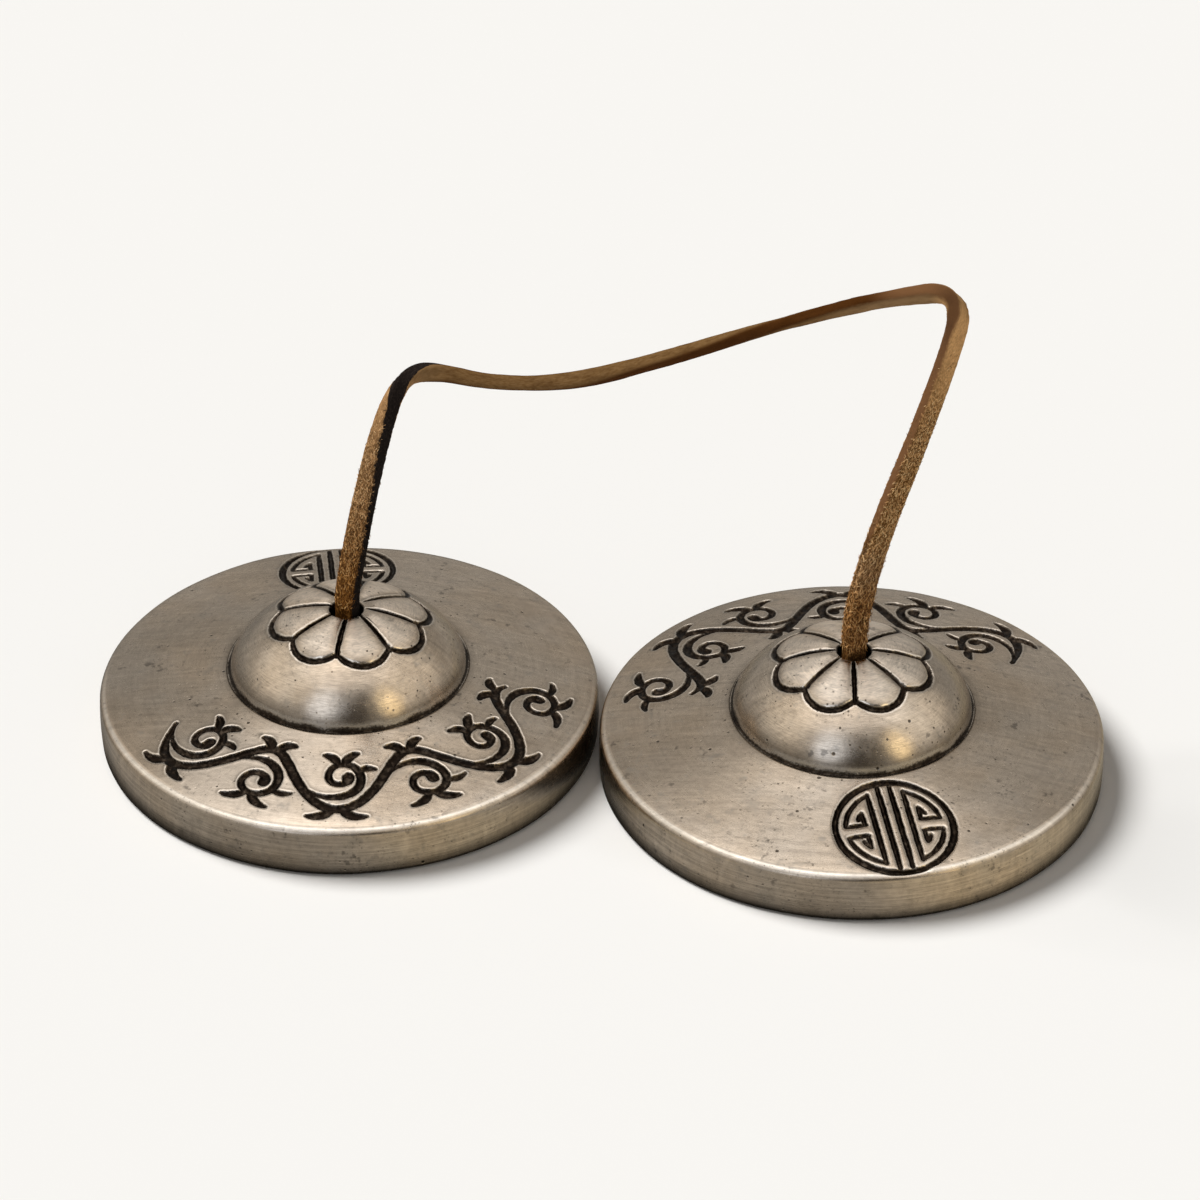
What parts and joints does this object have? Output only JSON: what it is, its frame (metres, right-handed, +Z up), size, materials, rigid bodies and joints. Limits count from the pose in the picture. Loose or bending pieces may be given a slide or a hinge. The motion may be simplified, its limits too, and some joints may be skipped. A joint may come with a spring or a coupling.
{
  "type": "tingsha cymbals",
  "caption": "Pair of small thick bronze hand cymbals with domed bosses and hollow undersides, joined by a leather lace knotted inside each cup.",
  "frame": {"origin": "midway between the two cymbals, on the surface they rest on", "axes": "+X from the left cymbal's hole to the right cymbal's hole, -Y towards the viewer, +Z up along the hole axes"},
  "size_m": [0.1307, 0.065, 0.0727],
  "materials": {
    "bronze": "brushed, worn, dark in the low places",
    "leather": "rough cut lace"
  },
  "bodies": {
    "strap": {"leather_strap": "leather"},
    "left_knot": {"left_knot": "leather"},
    "left_cymbal": {"left_cymbal": "bronze"},
    "right_knot": {"right_knot": "leather"},
    "right_cymbal": {"right_cymbal": "bronze"}
  },
  "joints": [
    {"name": "left_swing", "type": "hinge", "parent": "strap", "child": "left_knot", "pos_m": [-0.03285, 0, 0.02], "axis": [1, 0, 0], "range_deg": [-75, 75], "deforming": ["leather_strap"]},
    {"name": "left_spin", "type": "hinge", "parent": "left_knot", "child": "left_cymbal", "pos_m": [-0.03285, 0, 0.0165], "axis": [0, 0, 1], "continuous": true},
    {"name": "right_swing", "type": "hinge", "parent": "strap", "child": "right_knot", "pos_m": [0.03285, 0, 0.02], "axis": [1, 0, 0], "range_deg": [-75, 75], "deforming": ["leather_strap"]},
    {"name": "right_spin", "type": "hinge", "parent": "right_knot", "child": "right_cymbal", "pos_m": [0.03285, 0, 0.0165], "axis": [0, 0, 1], "continuous": true}
  ]
}
